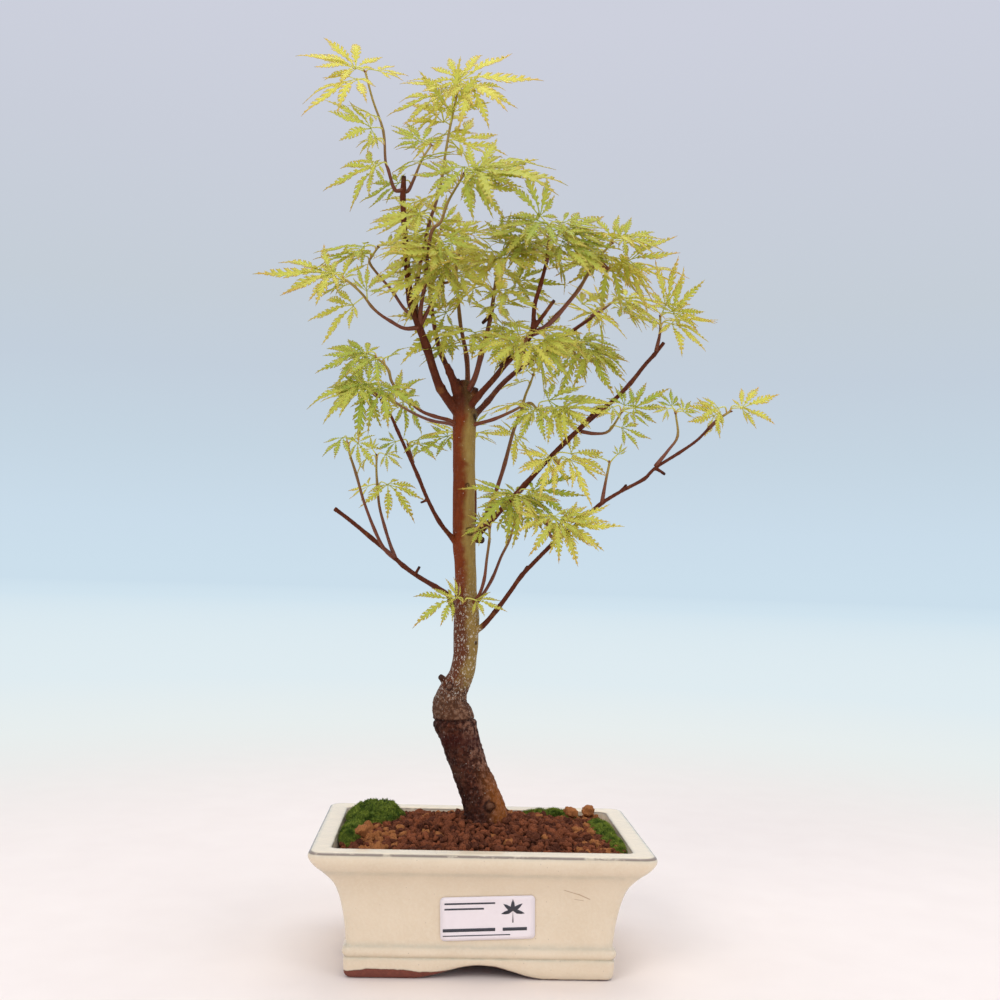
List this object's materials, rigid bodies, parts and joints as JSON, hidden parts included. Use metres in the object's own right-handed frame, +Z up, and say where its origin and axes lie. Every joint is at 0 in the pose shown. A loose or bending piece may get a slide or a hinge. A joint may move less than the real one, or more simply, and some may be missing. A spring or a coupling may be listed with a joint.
{
  "type": "bonsai tree in a pot",
  "caption": "Small cut-leaf maple bonsai with a crooked grafted trunk and airy crown, planted in a low glazed rectangular pot with moss and clay soil.",
  "frame": {"origin": "on the ground below the middle of the bounding box", "axes": "+Z up the tree, +X along the pot's length to the right seen from its front, -Y out of the pot's front"},
  "size_m": [0.3107, 0.1664, 0.5406],
  "materials": {
    "glaze": "glossy cream stoneware glaze",
    "label": "satin sticker paper",
    "screen_plastic": "matte",
    "screen_wire": "drawn wire",
    "soil": "matt baked-clay granules",
    "moss": "dense moss",
    "clay_grain": "matt baked clay",
    "bark": "rough bark",
    "branch_bark": "smooth young bark",
    "leaves": "satin leaf"
  },
  "bodies": {
    "root": {"clay_grain_left": "clay_grain", "clay_grain_right": "clay_grain", "crown_branch_back_left": "branch_bark", "crown_branch_back_right": "branch_bark", "crown_branch_left": "branch_bark", "crown_branch_right": "branch_bark", "drain_screen_left": "screen_plastic", "drain_screen_right": "screen_plastic", "label": "label", "low_branch_left": "branch_bark", "low_branch_right": "branch_bark", "middle_branch_back": "branch_bark", "middle_branch_left": "branch_bark", "middle_branch_right": "branch_bark", "moss_back": "moss", "moss_left": "moss", "moss_right": "moss", "pot": "glaze", "pruned_stub": "branch_bark", "rim_grain": "clay_grain", "screen_wire_left": "screen_wire", "screen_wire_right": "screen_wire", "shoot_back": "leaves", "shoot_back_upper": "leaves", "shoot_branch_end": "leaves", "shoot_centre_back": "leaves", "shoot_centre_front": "leaves", "shoot_centre_right": "leaves", "shoot_far_left": "leaves", "shoot_inner_spur": "leaves", "shoot_left_back": "leaves", "shoot_left_inner": "leaves", "shoot_left_lower": "leaves", "shoot_left_spur": "leaves", "shoot_left_upper": "leaves", "shoot_low_left_long": "leaves", "shoot_low_left_short": "leaves", "shoot_low_right_end": "leaves", "shoot_low_right_fork": "leaves", "shoot_low_right_inner": "leaves", "shoot_low_right_spur": "leaves", "shoot_middle_high": "leaves", "shoot_middle_low": "leaves", "shoot_middle_right": "leaves", "shoot_right_back": "leaves", "shoot_right_front": "leaves", "shoot_right_hanging": "leaves", "shoot_right_outer": "leaves", "shoot_right_spur": "leaves", "shoot_right_upper": "leaves", "shoot_small_back": "leaves", "shoot_small_front": "leaves", "shoot_top_inner": "leaves", "shoot_top_left": "leaves", "shoot_top_middle": "leaves", "shoot_top_right": "leaves", "shoot_trunk_low": "leaves", "soil": "soil", "trunk": "bark"}
  },
  "joints": []
}
